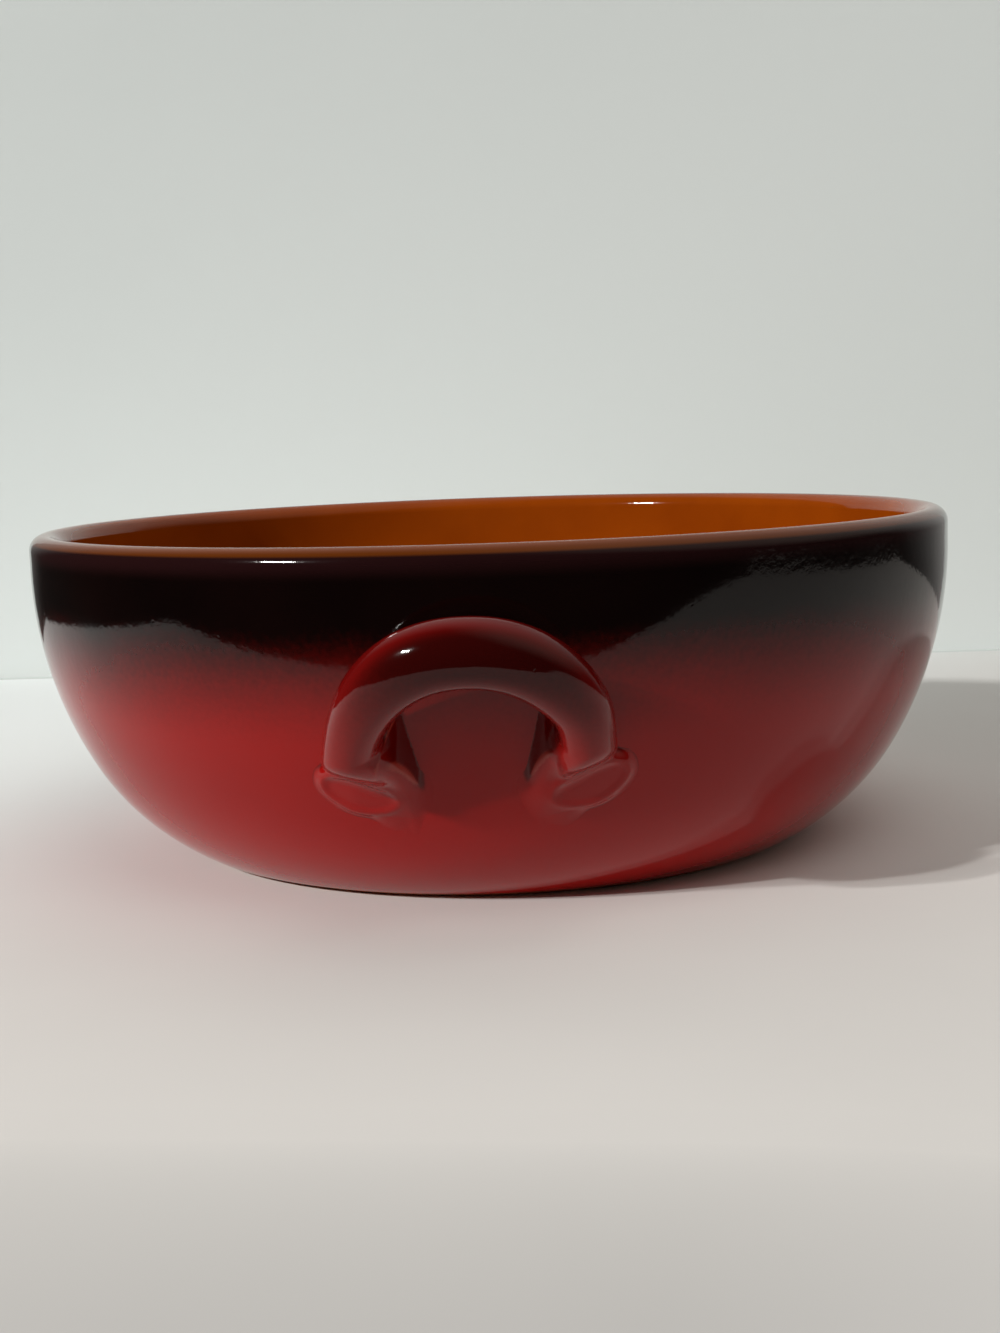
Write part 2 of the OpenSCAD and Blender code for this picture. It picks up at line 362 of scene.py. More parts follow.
def matt_paper(name, low, high, lightest, lighter_from, lighter_to):
    """Plain pale paper for the table and the wall behind it: cloudy, with painted light that makes
    it lighter one way, and painted shade that evens out the extra light where it turns down. It
    has one side only, so that it doesn't hide the dish from behind."""
    made, tree, place = new_material(name)
    cloud = add(tree, "ShaderNodeTexNoise", {
        "Vector": place, "Scale": per_metre(PAPER_CLOUDS), "Detail": 4.0})
    pale = add(tree, "ShaderNodeMix", {
        SHARE: cloud.outputs["Fac"], FIRST: to_linear(low), SECOND: to_linear(high)},
        data_type="RGBA")
    run = Vector(lighter_to) - Vector(lighter_from)
    offset = add(tree, "ShaderNodeVectorMath", {
        0: place, 1: [c * MM for c in lighter_from]}, operation="SUBTRACT")
    along = add(tree, "ShaderNodeVectorMath", {
        0: offset.outputs[0], 1: run / (run.length_squared * MM)}, operation="DOT_PRODUCT")
    much = add(tree, "ShaderNodeMapRange", {
        "Value": along.outputs["Value"]}, interpolation_type="SMOOTHSTEP")
    graded = add(tree, "ShaderNodeMix", {
        SHARE: much.outputs["Result"], FIRST: pale.outputs[MIXED], SECOND: to_linear(lightest)},
        data_type="RGBA")
    side = add(tree, "ShaderNodeNewGeometry").outputs
    lit = add(tree, "ShaderNodeVectorMath", {
        0: side["Normal"], 1: PAPER_LIGHT}, operation="DOT_PRODUCT")
    over = add(tree, "ShaderNodeMath", {0: lit.outputs["Value"], 1: 1.0}, operation="MAXIMUM")
    even = add(tree, "ShaderNodeMath", {0: 1.0, 1: over.outputs[0]}, operation="DIVIDE")
    toned = add(tree, "ShaderNodeVectorMath", {
        0: graded.outputs[MIXED], "Scale": even.outputs[0]}, operation="SCALE")
    shader = add(tree, "ShaderNodeBsdfPrincipled", {
        "Base Color": toned.outputs[0], "Roughness": 0.9, "Specular IOR Level": 0.15})
    clear = add(tree, "ShaderNodeBsdfTransparent")
    one_sided = add(tree, "ShaderNodeMixShader", {
        0: side["Backfacing"], 1: shader.outputs["BSDF"], 2: clear.outputs["BSDF"]})
    add(tree, "ShaderNodeOutputMaterial", {"Surface": one_sided.outputs["Shader"]})
    return made


# ---- The turned bowl ----
# Lines of the section run in mm from the axis and above the table, with a coat of thickness t on
# the clay.

def wall_radius(z, t=GLAZE_T):
    z = np.asarray(z, float)
    belly = BELLY_X + np.sqrt((BELLY_R + t) ** 2 - np.clip(BELLY_Z - z, 0, BELLY_R) ** 2)
    heel = HEEL_X + np.sqrt((HEEL_R + t) ** 2 - np.clip(HEEL_Z - z, 0, HEEL_R) ** 2)
    return np.where(z > TURN_H - t * math.sin(TURN_A), belly, heel)


def wall_line(low, high, t, count):
    """Points up the outside wall, closer together at both ends, where two coats meet."""
    share = (1 - np.cos(np.linspace(0, math.pi, count))) / 2
    z = low + (high - low) * share
    return np.column_stack([wall_radius(z, t), z])


def arc(x, z, r, start, end, count):
    a = np.linspace(start, end, count)
    return np.column_stack([x + r * np.cos(a), z + r * np.sin(a)])


def lip_arc(start, end, t, count):
    return arc(RIM_R - LIP_R, LIP_Z, LIP_R + t, start, end, count)


def red_line(t, count):
    return wall_line(BARE_FOOT_H, DARK_FOOT_Z, t, count)


def dark_line(t, count):
    return np.vstack([wall_line(DARK_FOOT_Z, LIP_Z, t, count),
                      lip_arc(0, LIP_EDGE_A, t, count // 2)[1:]])


def lining_line(t, count):
    floor = np.linspace(CORNER_X, 0, FLOOR_POINTS)[1:]
    return np.vstack([
        lip_arc(LIP_EDGE_A, math.pi, t, 2 * count),
        arc(BELLY_X, BELLY_Z, BELLY_R - WALL_T - t, 0, -CORNER_A, count),
        arc(CORNER_X, CORNER_Z, INSIDE_R - t, -CORNER_A, -math.pi / 2, count)[1:],
        np.column_stack([floor, np.full(len(floor), FLOOR_T + t)]),
    ])


def coat_section(line, face_points, back_points):
    """A closed outline of one coat: its own surface, then back along the clay."""
    return np.vstack([line(GLAZE_T, face_points), line(UNDER, back_points)[::-1]])


def wheel_tree():
    """Turns a section about the dish's axis, as the potter's wheel does."""
    tree = bpy.data.node_groups.new("turned_on_the_wheel", "GeometryNodeTree")
    for name, kind in (("Section", "Geometry"), ("Steps Round", "Int"),
                       ("Section Offset", "Float"), ("Crease Angle", "Float"),
                       ("Finish", "Material")):
        tree.interface.new_socket(name, in_out="INPUT", socket_type="NodeSocket" + kind)
    tree.interface.new_socket(
        "Turned Piece", in_out="OUTPUT", socket_type="NodeSocketGeometry")
    given = add(tree, "NodeGroupInput").outputs
    path = add(tree, "GeometryNodeCurvePrimitiveCircle", {
        "Resolution": given["Steps Round"], "Radius": given["Section Offset"]})
    line = add(tree, "GeometryNodeMeshToCurve", {"Mesh": given["Section"]})
    turned = add(tree, "GeometryNodeCurveToMesh", {
        "Curve": path.outputs["Curve"], "Profile Curve": line.outputs["Curve"]})
    closed = add(tree, "GeometryNodeMergeByDistance", {
        "Geometry": turned.outputs["Mesh"], "Distance": ONE_POINT * MM})
    bend = add(tree, "GeometryNodeInputMeshEdgeAngle")
    sharp = add(tree, "FunctionNodeCompare", {
        0: bend.outputs["Unsigned Angle"], 1: given["Crease Angle"]}, operation="GREATER_THAN")
    smooth = add(tree, "GeometryNodeSetShadeSmooth", {
        "Geometry": closed.outputs["Geometry"], "Shade Smooth": True})
    edged = add(tree, "GeometryNodeSetShadeSmooth", {
        "Geometry": smooth.outputs["Geometry"], "Selection": sharp.outputs["Result"],
        "Shade Smooth": False}, domain="EDGE")
    real = add(tree, "GeometryNodeRealizeInstances", {"Geometry": edged.outputs["Geometry"]})
    finished = add(tree, "GeometryNodeSetMaterial", {
        "Geometry": real.outputs["Geometry"], "Material": given["Finish"]})
    add(tree, "NodeGroupOutput", {"Turned Piece": finished.outputs["Geometry"]})
    return tree


def face_outwards(mesh):
    work = bmesh.new()
    work.from_mesh(mesh)
    if work.calc_volume(signed=True) < 0:
        bmesh.ops.reverse_faces(work, faces=work.faces)
    work.to_mesh(mesh)
    work.free()


def new_object(name, data):
    made = bpy.data.objects.new(name, data)
    bpy.context.scene.collection.objects.link(made)
    return made


def turned_piece(name, section, tree, finish):
    """One coat, turned from its section and left as a plain mesh."""
    count = len(section)
    outline = bpy.data.meshes.new(name)
    points = [((r - SECTION_OFFSET) * MM, -z * MM, 0) for r, z in section]
    outline.from_pydata(points, [(i, (i + 1) % count) for i in range(count)], [])
    made = new_object(name, outline)
    modifier = made.modifiers.new("turned", "NODES")
    modifier.node_group = tree
    chosen = {"Steps Round": STEPS_ROUND, "Section Offset": SECTION_OFFSET * MM,
              "Crease Angle": CREASE_ANGLE, "Finish": finish}
    for item in tree.interface.items_tree:
        if item.name in chosen:
            modifier[item.identifier] = chosen[item.name]
    evaluated = made.evaluated_get(bpy.context.evaluated_depsgraph_get())
    made.data = bpy.data.meshes.new_from_object(evaluated)
    made.modifiers.remove(modifier)
    face_outwards(made.data)
    return made


# ---- The handles ----
# A field in mm, below 0 inside the clay, is worked out on a grid and skinned where it is 0.

# The loop, as in the part's source.
LOOP_W = 63.0
LOOP_H = 40.0
LOOP_SQUARE = 2.2
ROOT_Z = 35.0
PAD_OUT = 2.5
ROLL_OUT = 22.6
PAD_SHARE = 0.35
ROLL_W = 16.8
ROLL_T = 15.2
LEG_D = 13.6

# The potter's hand in the loop: how far the left and the right leg bend in below a height, and
# the width, depth and rounding of the leg ends under the thumb.
LEG_BENDS = (0.0, 2.6)
LEG_BEND_Z = 62.0
LEG_BEND_RUN = 16.0
LEG_END_W = 15.0
LEG_END_DEEP = 10.0
LEG_END_R = 4.5

# The thumbed ends: side, middle across and up, thickness of the web, slant of the print, and
# height of the leg's end over it.
ROOTS = ((-1, 29.9, 35.3, 12.0, math.radians(14), 4.4),
         (1, 28.7, 36.5, 9.5, math.radians(22), 5.2))

# How the thumb cut the legs off: the slope of the cut off the wall and its softness.
LEG_CUT_SLOPE = 0.3
LEG_CUT_SOFT = 3.0

# The oval print: its shift from the middle, half length and half height, the height of its face
# with a slant up and a thinning outwards, the pad's upper half height, the flat round it, the
# skirts at its outer and inner end, where they change, and the bead round it.
PRINT_IN = 0.5
PRINT_UP = 1.8
PRINT_HALF = (10.0, 6.2)
PRINT_T = 1.9
PRINT_SLANT = 0.14
PRINT_THIN = 0.8
PAD_TOP = 5.0
PAD_FLAT = 0.3
PAD_SKIRTS = (3.0, 8.0)
SKIRT_FROM, SKIRT_RUN = -2, 8
BEAD_T = 0.38
BEAD_W = 1.4

# The web of clay smeared from the leg along the wall: its tilt, where it starts and how far it
# reaches, how it tapers, the ledge on top and its bend, the foot of the drop to the wall above
# and its slope, the least drop, how far it runs down, its rounding and where it ends outwards.
WEB_TILT = math.radians(19)
WEB_START = -4.9
WEB_REACH = 12.5
WEB_TAPER = 0.3
WEB_LEDGE = 20.5
LEDGE_BEND, LEDGE_BEND_FROM = 0.078, -2
WEB_FOOT = 29.0
WEB_FOOT_SLOPE = 1.9
WEB_LEAST_DROP = 1.5
WEB_DOWN = 18.0
WEB_ROUND = 0.15
WEB_OUT_FROM, WEB_OUT_RUN = 2, 6

# How the leg runs into pad and web: the fillet inside and outside the loop and where it changes,
# and the slope of pad and web allowed for.
IN_SOFT = 4.0
OUT_SOFT = 3.0
SOFT_FROM, SOFT_RUN = -5, 8
PAD_SLOPE = 0.85

# The skin: how far it sinks into the wall, its depth inside it and its overlap past the pads.
ROOT_SINK = 0.03
BACK_DEPTH = 2.0
EDGE_OVER = 0.6
FAR = 99.0

# The grid of the field, the range off the wall where it is worked out, its value elsewhere, and
# the value that fills an odd corner.
GRID_STEP = 0.6
GRID_LOW = (-49.0, -171.5, 15.0)
GRID_HIGH = (49.0, -112.0, 86.0)
GRID_MIDDLE, GRID_HALF = 13, 21
GRID_OUTSIDE = 9.0
GRID_FILLED = -0.05
FILL_ROUNDS = 4
POINTS_AT_ONCE = 40000

# How the points settle on the field, and the steps in mm over which slopes, normals and bends of
# it are measured.
SETTLE_ROUNDS = 3
SETTLE_MOST = 0.5
LEAST_SLOPE = 0.2
SLOPE_STEP = 0.05
NORMAL_STEP = 0.08
BEND_STEP = 0.7

# What the glaze reads from the shape, as start and run of a rise from 0 to 1: the bend of ridges
# and creases, the height off the wall, how far the surface faces forwards for the painted shade on
# the roll, and for the painted shade behind the legs how hidden and how far inwards it faces, and
# the flanks of the legs close to the wall.
RIDGE = (0.5, 1.0)
CREASE = (0.2, 0.6)
LIFT = (0, 6.0)
FORE = (0.55, 0.37)
HIDDEN = (0.18, 0.2)
HIDDEN_REACH = 10.0
INWARD = (0.1, 0.3)
FLANK = (0.5, 0.25)
FLANK_CLOSE = (-11, 5)


def ease(t):
    u = np.clip(t, 0, 1)
    return u * u * (3 - 2 * u)


def rise(value, start_and_run):
    start, run = start_and_run
    return ease((value - start) / run)


def mix(a, b, t):
    return a + (b - a) * t


def unit(v):
    return v / np.linalg.norm(v, axis=-1, keepdims=True)


def joined(a, b, soft):
    """Two forms run together with a soft fillet."""
    h = np.clip(0.5 + 0.5 * (b - a) / soft, 0, 1)
    return mix(b, a, h) - soft * h * (1 - h)


def pressed(a, b, soft):
    """Form a with form b pressed into it."""
    return -joined(-a, b, soft)


def loop_rise(a):
    return np.maximum(np.sin(a), 0) ** (2 / LOOP_SQUARE)


def loop_points(a):
    """Points along the middle of the roll, from the right leg over the top to the left leg."""
    x = LOOP_W / 2 * np.sign(np.cos(a)) * np.abs(np.cos(a)) ** (2 / LOOP_SQUARE)
    up = loop_rise(a)
    z = ROOT_Z + LOOP_H * up
    x += np.where(x < 0, LEG_BENDS[0], -LEG_BENDS[1]) * ease((LEG_BEND_Z - z) / LEG_BEND_RUN)
    r = wall_radius(z, 0) + mix(PAD_OUT, ROLL_OUT, up)
    return np.column_stack([x, -np.sqrt(r * r - x * x), z])


def roll_halves(up):
    """Half width and half depth of the roll by its share of the loop's height."""
    high = up > PAD_SHARE
    above = ease((up - PAD_SHARE) / (1 - PAD_SHARE))
    below = ease(up / PAD_SHARE)
    along = np.where(high, mix(LEG_D, ROLL_W, above), mix(LEG_END_W, LEG_D, below)) / 2
    away = np.where(high, mix(LEG_D, ROLL_T, above), mix(LEG_END_DEEP, LEG_D, below)) / 2
    return np.column_stack([along, away])


# The loop as a table: its points, the way along it, the way outwards, its half sizes, its steps.
LOOP_END_A = 0.06
LOOP_COUNT = 241
LOOP_A = np.linspace(LOOP_END_A, math.pi - LOOP_END_A, LOOP_COUNT)
LOOP = loop_points(LOOP_A)
LOOP_WAY = unit(np.gradient(LOOP, axis=0))
LOOP_FLAT = unit(LOOP * (1, 1, 0))
LOOP_OUT = unit(LOOP_FLAT - LOOP_WAY * (LOOP_FLAT * LOOP_WAY).sum(1, keepdims=True))
LOOP_HALF = roll_halves(loop_rise(LOOP_A))
LOOP_STEP = np.linalg.norm(np.gradient(LOOP, axis=0), axis=1)


def along_loop(table, s):
    low = np.clip(s.astype(int), 0, len(table) - 2)
    return mix(table[low], table[low + 1], (s - low)[:, None])


def oval_distance(off, size):
    k0 = np.linalg.norm(off / size, axis=1)
    k1 = np.linalg.norm(off / size ** 2, axis=1)
    return k0 * (k0 - 1) / np.maximum(k1, 1e-9)


def roll_field(p):
    """How far each point is outside the pulled roll of clay."""
    nearest = np.empty(len(p), int)
    weight = (LOOP ** 2).sum(1)
    for i in range(0, len(p), POINTS_AT_ONCE):
        some = slice(i, i + POINTS_AT_ONCE)
        nearest[some] = np.argmin(weight - 2 * p[some] @ LOOP.T, axis=1)
    forward = ((p - LOOP[nearest]) * LOOP_WAY[nearest]).sum(1)
    s = np.clip(nearest + forward / LOOP_STEP[nearest], 0, len(LOOP) - 1)
    way = unit(along_loop(LOOP_WAY, s))
    out = along_loop(LOOP_OUT, s)
    out = unit(out - way * (out * way).sum(1, keepdims=True))
    half = along_loop(LOOP_HALF, s)
    v = p - along_loop(LOOP, s)
    past = (v * way).sum(1)
    past = np.where((s <= 0) | (s >= len(LOOP) - 1), past, 0)
    off = np.column_stack([(v * np.cross(way, out)).sum(1), (v * out).sum(1), past])
    size = np.column_stack([half, np.full(len(p), LEG_END_R)])
    return oval_distance(off, size)


def wall_slope(z):
    return (wall_radius(z + SLOPE_STEP) - wall_radius(z - SLOPE_STEP)) / (2 * SLOPE_STEP)


def wall_field(p):
    """How far each point is outside the glazed wall."""
    z = np.clip(p[:, 2], 0, LIP_EDGE_Z)
    return (np.hypot(p[:, 0], p[:, 1]) - wall_radius(z)) / np.sqrt(1 + wall_slope(z) ** 2)


def root_frame(side, x, z):
    """Middle of a thumbed end, with its ways outwards along the wall, up it and off it."""
    r = float(wall_radius(z))
    turn = math.asin(side * x / r)
    radial = np.array([math.sin(turn), -math.cos(turn), 0])
    off = unit(radial - np.array([0, 0, float(wall_slope(z))]))
    outward = side * np.array([math.cos(turn), math.sin(turn), 0])
    up = unit(np.array([0, 0, 1]) - off * off[2])
    return radial * r + np.array([0, 0, z]), outward, up, off


def oval_edge(along, up, half_length, half_height):
    """How far each point on the wall is outside an oval."""
    flat = np.column_stack([along, up])
    size = np.column_stack([np.full(len(flat), half_length), half_height + 0 * up])
    return oval_distance(flat, size)


def print_pad(along, across):
    """Height of the pad with its slanted print and bead, and how far a point is outside it."""
    u, w = along + PRINT_IN, across - PRINT_UP
    length, half = PRINT_HALF
    outside = oval_edge(u, w, length, np.where(w > 0, PAD_TOP, half))
    skirt = mix(*PAD_SKIRTS, ease((SKIRT_FROM - u) / SKIRT_RUN))
    slant = PRINT_SLANT * np.clip(w, -half, PAD_TOP)
    face = PRINT_T + slant - PRINT_THIN * ease(u / length)
    bead = BEAD_T * np.exp(-(oval_edge(u, w, length, half) / BEAD_W) ** 2)
    return (face + bead) * (1 - ease((outside - PAD_FLAT) / skirt)), outside - skirt


def web(along, across, thick):
    """Height of the web smeared inwards from the leg, with a ledge that drops steeply to the
    wall above it, and how far a point is outside it."""
    left = np.clip(1 - (WEB_START - along) / WEB_REACH, 0, 1)
    thin = np.where(left < WEB_TAPER, left ** 2 / (2 * WEB_TAPER), left - WEB_TAPER / 2)
    taper = thin / (1 - WEB_TAPER / 2)
    ledge = WEB_LEDGE - LEDGE_BEND * np.maximum(LEDGE_BEND_FROM - along, 0) ** 2
    foot = np.maximum(WEB_FOOT - WEB_FOOT_SLOPE * np.maximum(WEB_START - along, 0),
                      ledge + WEB_LEAST_DROP)
    drop = 1 - (across - ledge) / (foot - ledge)
    run = 1 - ease((ledge - across) / WEB_DOWN)
    outside = np.maximum.reduce([
        WEB_START - WEB_REACH - along, across - foot, ledge - WEB_DOWN - across,
        along - (WEB_OUT_FROM + WEB_OUT_RUN)])
    height = thick * taper * np.clip(joined(drop, run, WEB_ROUND), 0, 1)
    return height * (1 - ease((along - WEB_OUT_FROM) / WEB_OUT_RUN)), outside


def handle_field(p):
    """The handle where it shows: roll, thumbed pads and webs, running out into the wall. Also
    how far each point is outside all of these, and outside the wall."""
    leg = roll_field(p)
    wall = wall_field(p) + ROOT_SINK
    height = np.zeros(len(p))
    soft = np.full(len(p), OUT_SOFT)
    edge = np.full(len(p), FAR)
    for side, x, z, web_t, tilt, cut in ROOTS:
        middle, outward, up, off = root_frame(side, x, z)
        v = p - middle
        out, climb, away = v @ outward, v @ up, v @ off
        c, s = math.cos(tilt), math.sin(tilt)
        over_cut = v[:, 2] * c - out * s - LEG_CUT_SLOPE * away - cut
        leg = pressed(leg, over_cut, LEG_CUT_SOFT)
        pad, pad_edge = print_pad(out * c + climb * s, climb * c - out * s)
        c, s = math.cos(WEB_TILT), math.sin(WEB_TILT)
        along = out * c + climb * s
        smear, smear_edge = web(along, climb * c - out * s, web_t)
        height = np.maximum(height, (pad ** 3 + smear ** 3) ** (1 / 3))
        edge = np.minimum(edge, np.minimum(pad_edge, smear_edge))
        here = mix(IN_SOFT, OUT_SOFT, ease((along - SOFT_FROM) / SOFT_RUN))
        soft = np.where(side * p[:, 0] > 0, here, soft)
    form = joined(leg, (wall - height) * PAD_SLOPE, soft)
    return np.minimum(form, wall), np.minimum(leg - IN_SOFT, edge), wall


def seen_handle(p):
    return handle_field(p)[0]


def closed_handle(p):
    """The handle cut off inside the wall, so that its skin is closed."""
    form, edge, wall = handle_field(p)
    return np.maximum(np.maximum(form, -wall - BACK_DEPTH), edge - EDGE_OVER)


def without_pinches(field):
    """Fills the odd grid corner where two sheets of the skin would touch along a line."""
    for _ in range(FILL_ROUNDS):
        for one, two in ((0, 1), (0, 2), (1, 2)):
            corner = {}
            for i in (0, 1):
                for j in (0, 1):
                    part = [slice(None)] * 3
                    part[one] = slice(i, field.shape[one] - 1 + i)
                    part[two] = slice(j, field.shape[two] - 1 + j)
                    corner[i, j] = field[tuple(part)]
            filled = {at: values < 0 for at, values in corner.items()}
            falling = filled[0, 0] & filled[1, 1] & ~filled[0, 1] & ~filled[1, 0]
            rising = filled[0, 1] & filled[1, 0] & ~filled[0, 0] & ~filled[1, 1]
            corner[0, 1][falling] = GRID_FILLED
            corner[0, 0][rising] = GRID_FILLED
    return field


def skin(field, low, step):
    """A closed skin of four-sided faces where the field on a grid passes through 0."""
    inside = field < 0
    cells = tuple(n - 1 for n in field.shape)
    corners = [(i, j, k) for i in (0, 1) for j in (0, 1) for k in (0, 1)]

    def at_corner(grid, c):
        return grid[tuple(slice(c[i], c[i] + cells[i]) for i in range(3))]

    filled = sum(at_corner(inside, c).astype(int) for c in corners)
    mixed = (filled > 0) & (filled < len(corners))
    number = np.full(cells, -1)
    number[mixed] = np.arange(mixed.sum())
    total = np.zeros((mixed.sum(), 3))
    count = np.zeros((mixed.sum(), 1))
    for a in corners:
        for axis in range(3):
            if a[axis]:
                continue
            b = tuple(1 if i == axis else a[i] for i in range(3))
            fa, fb = at_corner(field, a)[mixed], at_corner(field, b)[mixed]
            crossing = (fa < 0) != (fb < 0)
            point = np.tile(np.array(a, float), (len(fa), 1))
            point[:, axis] = np.where(crossing, fa / np.where(crossing, fa - fb, 1), 0)
            total += point * crossing[:, None]
            count += crossing[:, None]
    points = low + (np.argwhere(mixed) + total / count) * step
    faces = []
    for axis in range(3):
        one, two = [i for i in range(3) if i != axis]
        ends = [slice(1, -1)] * 3
        ends[axis] = slice(0, -1)
        start = inside[tuple(ends)]
        ends[axis] = slice(1, None)
        finish = inside[tuple(ends)]
        at = np.argwhere(start != finish)
        at[:, one] += 1
        at[:, two] += 1
        around = []
        for da, db in ((1, 1), (0, 1), (0, 0), (1, 0)):
            cell = at.copy()
            cell[:, one] -= da
            cell[:, two] -= db
            around.append(number[tuple(cell.T)])
        quads = np.column_stack(around)
        leaving = start[start != finish]
        turn = leaving if axis != 1 else ~leaving
        faces.append(np.where(turn[:, None], quads, quads[:, ::-1]))
    return points, np.vstack(faces)


def slope_of(field, p, h):
    shifts = np.eye(3) * h
    return np.column_stack([(field(p + s) - field(p - s)) / (2 * h) for s in shifts])


def handle_mesh(name):
    """The skin of the front handle, with the field's own normals and what its glaze reads."""
    low, high = np.array(GRID_LOW), np.array(GRID_HIGH)
    shape = np.ceil((high - low) / GRID_STEP).astype(int)
    lines = [low[i] + GRID_STEP * np.arange(shape[i]) for i in range(3)]
    flat = np.stack(np.meshgrid(*lines, indexing="ij"), -1).reshape(-1, 3)
    near = np.abs(wall_field(flat) - GRID_MIDDLE) < GRID_HALF
    field = np.full(len(flat), GRID_OUTSIDE)
    field[near] = closed_handle(flat[near])
    points, faces = skin(without_pinches(field.reshape(shape)), low, GRID_STEP)
    for _ in range(SETTLE_ROUNDS):
        slope = slope_of(closed_handle, points, SLOPE_STEP)
        value = np.clip(closed_handle(points), -SETTLE_MOST, SETTLE_MOST)
        points -= slope * value[:, None] / np.maximum((slope ** 2).sum(1), LEAST_SLOPE)[:, None]
    normals = unit(slope_of(seen_handle, points, NORMAL_STEP))
    around = sum(seen_handle(points + s) + seen_handle(points - s)
                 for s in np.eye(3) * BEND_STEP)
    bend = (around - 6 * seen_handle(points)) / BEND_STEP ** 2
    mesh = bpy.data.meshes.new(name)
    mesh.from_pydata((points * MM).tolist(), [], faces.tolist())
    open_way = seen_handle(points + normals * HIDDEN_REACH) / HIDDEN_REACH
    hidden = 1 - np.minimum(open_way, 1)
    inward = -np.sign(points[:, 0]) * normals[:, 0]
    off_wall = wall_field(points)
    flank = rise(inward, FLANK) * rise(-off_wall, FLANK_CLOSE)
    painted = {
        "ridge": rise(bend, RIDGE),
        "crease": rise(-bend, CREASE),
        "lift": rise(off_wall, LIFT),
        # Painted shade: darker where the wall is hidden behind the legs and on their inner flanks
        # near it.
        "glaze_pool_and_painted_shade": np.maximum(rise(hidden, HIDDEN) * rise(inward, INWARD), flank),
        # Painted shade where the roll faces the front; it is lighter where it faces up or aside.
        "painted_front_shade": rise(-normals[:, 1], FORE),
    }
    for attribute, values in painted.items():
        kept = mesh.attributes.new(attribute, "FLOAT", "POINT")
        kept.data.foreach_set("value", values.astype(np.float32))
    mesh.normals_split_custom_set_from_vertices(normals.tolist())
    return mesh


def turned_round(mesh, name):
    """A copy of a mesh on the other side of the dish."""
    copy = mesh.copy()
    copy.name = name
    kept = np.empty(len(mesh.loops) * 3, np.float32)
    mesh.corner_normals.foreach_get("vector", kept)
    copy.transform(Matrix.Rotation(math.pi, 4, "Z"))
    copy.normals_split_custom_set((kept.reshape(-1, 3) * (-1, -1, 1)).tolist())
    return copy


# ---- The dish ----

clay_finish = bare_clay()
wall_finish = wall_glaze()
lining_finish = lining_glaze()
handle_finish = handle_glaze()

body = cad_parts["bowl_body"]
body.data.materials.clear()
body.data.materials.append(clay_finish)

# Each coat: piece, node, slot, finish, line of its section, points along its face and its back.
wheel = wheel_tree()
coats = (
    ("red_wall", "red_glaze", "red_glaze", wall_finish, red_line, 60, 24),
    ("dark_band", "dark_glaze", "dark_glaze", wall_finish, dark_line, 48, 20),
    ("amber_lining", "lining_glaze", "amber_glaze", lining_finish, lining_line, 40, 16),
)
for name, node, slot, finish, line, face_points, back_points in coats:
    piece = turned_piece(name, coat_section(line, face_points, back_points), wheel, finish)
    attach(piece, "root")
    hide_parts(node)

front_mesh = handle_mesh("front_handle_roll")
front_mesh.materials.append(handle_finish)
back_mesh = turned_round(front_mesh, "back_handle_roll")
for place, mesh in (("front", front_mesh), ("back", back_mesh)):
    piece = new_object(place + "_handle_roll", mesh)
    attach(piece, "root")
    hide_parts(place + "_handle", place + "_left_slip", place + "_right_slip")


# ---- The stage ----
# A pale sheet that rolls down at its front edge, and a pale wall behind it. Sizes in mm.
SHEET_EDGE = ((-480, -185), (-400, -216), (-250, -236), (-140, -251), (0, -260), (90, -266),
              (164, -295), (362, -384), (652, -490), (1050, -550))
SHEET_BACK = 374.0
SHEET_ROLL_R = 30.0
SHEET_DROP = 220.0
SHEET_COLUMNS = 200
SHEET_ROWS = 40
ROLL_ROWS = 9
EDGE_BLUR = 6
BACK_WALL_Y = 380
BACK_WALL_X = (-345, 335)
BACK_WALL_Z = (-260, 900)
BACK_TABLE_Y = 1100


def sheet_mesh():
    """The sheet from its back edge to its softly curved front edge, where it rolls down."""
    n = SHEET_COLUMNS
    edge = np.array(SHEET_EDGE, float)
    xs = np.linspace(edge[0, 0], edge[-1, 0], n)
    front = np.interp(xs, edge[:, 0], edge[:, 1])
    blur = 2 * EDGE_BLUR + 1
    front = np.convolve(np.pad(front, EDGE_BLUR, mode="edge"), np.ones(blur) / blur, mode="valid")
    rows = [np.column_stack([xs, mix(SHEET_BACK, front, t), np.zeros(n)])
            for t in np.linspace(0, 1, SHEET_ROWS)]
    for a in np.linspace(0, math.pi / 2, ROLL_ROWS)[1:]:
        rows.append(np.column_stack([
            xs, front - SHEET_ROLL_R * math.sin(a), np.full(n, SHEET_ROLL_R * (math.cos(a) - 1))]))
    rows.append(rows[-1] - (0, 0, SHEET_DROP))
    points = np.vstack(rows) * MM
    quads = [(i * n + j, (i + 1) * n + j, (i + 1) * n + j + 1, i * n + j + 1)
             for i in range(len(rows) - 1) for j in range(n - 1)]
    mesh = bpy.data.meshes.new("pale_sheet")
    mesh.from_pydata(points.tolist(), [], quads)
    mesh.shade_smooth()
    return mesh


def wall_behind_mesh():
    """The wall, and the table going on behind it, which only a view from behind shows."""
    left, right = BACK_WALL_X
    low, high = BACK_WALL_Z
    corners = [(left, BACK_WALL_Y, low), (right, BACK_WALL_Y, low),
               (right, BACK_WALL_Y, high), (left, BACK_WALL_Y, high),
               (left, SHEET_BACK, 0), (right, SHEET_BACK, 0),
               (right, BACK_TABLE_Y, 0), (left, BACK_TABLE_Y, 0)]
    mesh = bpy.data.meshes.new("pale_wall")
    mesh.from_pydata([tuple(c * MM for c in p) for p in corners], [], [(0, 1, 2, 3), (4, 5, 6, 7)])
    return mesh


